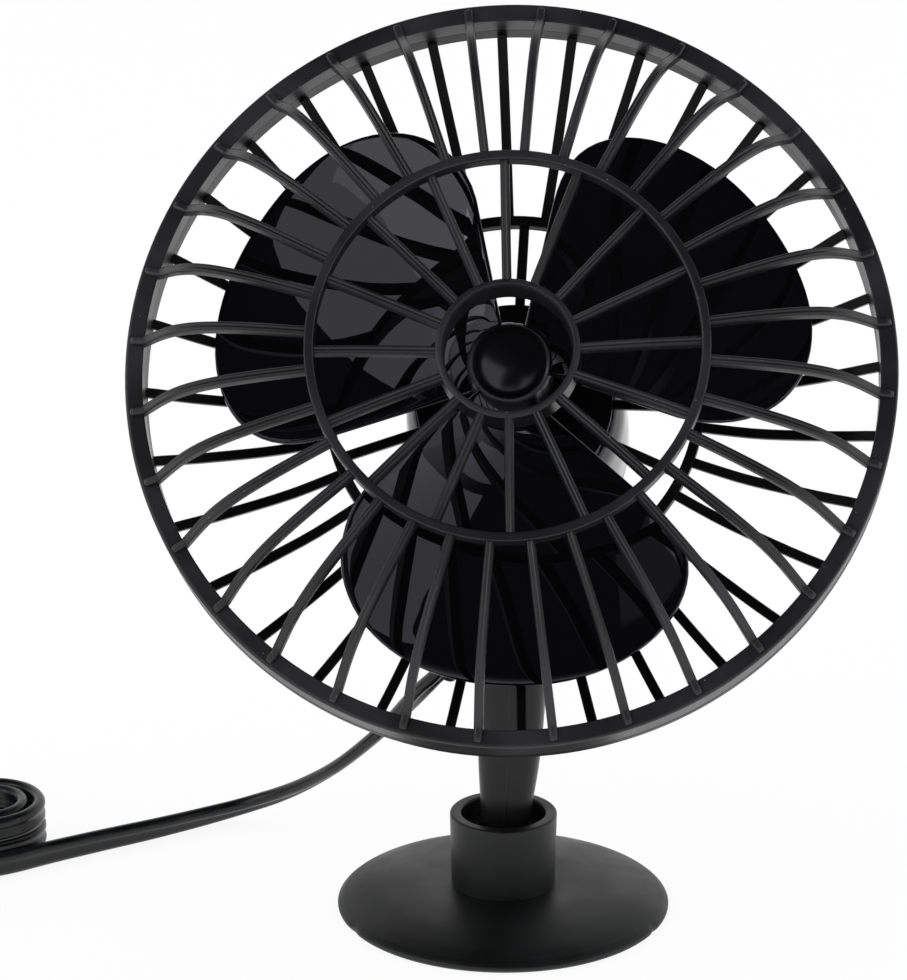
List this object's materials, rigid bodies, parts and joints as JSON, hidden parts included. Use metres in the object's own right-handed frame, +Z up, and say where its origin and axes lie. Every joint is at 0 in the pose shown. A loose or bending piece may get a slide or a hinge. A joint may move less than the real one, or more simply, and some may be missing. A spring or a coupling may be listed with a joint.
{
  "type": "car fan",
  "caption": "Small 12 V dashboard fan: a caged three-blade head that tilts on a tapered stem, which swivels by a ball in a suction cup, with a flat lead and lighter plug.",
  "frame": {"origin": "centre of the fan's box without its lead, on the surface that the cup's lip stands on", "axes": "+Z up along the fan's height, -Y the side the fan faces, +X to the right seen from the front"},
  "size_m": [0.2797, 0.1052, 0.1735],
  "materials": {
    "satin_black": "satin moulded black, a little grain",
    "gloss_black": "gloss black moulding",
    "black_rubber": "matte black soft rubber",
    "lead_sheath": "semi-gloss black flat twin sheath",
    "zinc_steel": "bright zinc plated steel",
    "bronze_copper": "copper and bronze",
    "ferrite": "matte grey ferrite",
    "white_nylon": "natural nylon",
    "fuse_glass": "clear glass"
  },
  "bodies": {
    "base": {"suction_cup": "black_rubber", "socket_seat": "satin_black", "socket_ring": "satin_black", "lead_free": "lead_sheath", "lead_hank": "lead_sheath", "lead_tail": "lead_sheath", "hank_tie": "black_rubber", "plug_body": "satin_black", "plug_cap": "satin_black", "plug_fuse": "fuse_glass", "plug_boot": "black_rubber"},
    "stem": {"stem": "satin_black", "lead_gland": "black_rubber", "pivot_nut": "zinc_steel"},
    "knob": {"tilt_knob": "satin_black", "pivot_bolt": "zinc_steel"},
    "head": {"front_grille": "satin_black", "rear_grille": "satin_black", "motor_housing": "gloss_black", "rear_cap": "gloss_black", "motor_can": "zinc_steel", "motor_end_bell": "white_nylon", "magnet_left": "ferrite", "magnet_right": "ferrite", "front_bearing": "bronze_copper", "rear_bearing": "bronze_copper", "brush_left": "bronze_copper", "brush_right": "bronze_copper", "terminal_left": "zinc_steel", "terminal_right": "zinc_steel", "plate_screw_1": "zinc_steel", "plate_screw_2": "zinc_steel", "case_screw_1": "zinc_steel", "case_screw_2": "zinc_steel", "switch_frame": "satin_black"},
    "rotor": {"fan_rotor": "gloss_black", "motor_shaft": "zinc_steel", "armature": "bronze_copper", "commutator": "bronze_copper"},
    "rocker": {"switch_rocker": "gloss_black"},
    "plug_pin": {"plug_pin": "zinc_steel"},
    "contact_front": {"contact_front": "zinc_steel"},
    "contact_back": {"contact_back": "zinc_steel"}
  },
  "joints": [
    {"name": "stem_swivel", "type": "hinge", "parent": "base", "child": "stem", "pos_m": [-0.00218, 0.01169, 0.012], "axis": [0.0216, 0, 0.9998], "range_deg": [-90, 90], "deforming": ["lead_free"]},
    {"name": "head_tilt", "type": "hinge", "parent": "stem", "child": "head", "pos_m": [-0.00099, 0.01169, 0.06699], "axis": [0.9998, 0, -0.0216], "range_deg": [-36, 48]},
    {"name": "knob_turn", "type": "hinge", "parent": "stem", "child": "knob", "pos_m": [-0.00099, 0.01169, 0.06699], "axis": [0.9998, 0, -0.0216], "continuous": true},
    {"name": "fan_spin", "type": "hinge", "parent": "head", "child": "rotor", "pos_m": [0.00006, -0.01114, 0.11547], "axis": [0.0119, -0.8358, 0.5489], "continuous": true},
    {"name": "rocker_tip", "type": "hinge", "parent": "head", "child": "rocker", "pos_m": [-0.00075, 0.0457, 0.07814], "axis": [0.9998, 0, -0.0216], "range_deg": [0, 16]},
    {"name": "pin_press", "type": "slide", "parent": "base", "child": "plug_pin", "axis": [-0.809, -0.5878, 0], "range_m": [0, 0.0028], "stiffness_N_per_m": 300, "springref_m": -0.003},
    {"name": "contact_front_press", "type": "slide", "parent": "base", "child": "contact_front", "axis": [-0.5878, 0.809, 0], "range_m": [0, 0.0012], "stiffness_N_per_m": 600, "springref_m": -0.001},
    {"name": "contact_back_press", "type": "slide", "parent": "base", "child": "contact_back", "axis": [0.5878, -0.809, 0], "range_m": [0, 0.0012], "stiffness_N_per_m": 600, "springref_m": -0.001}
  ]
}
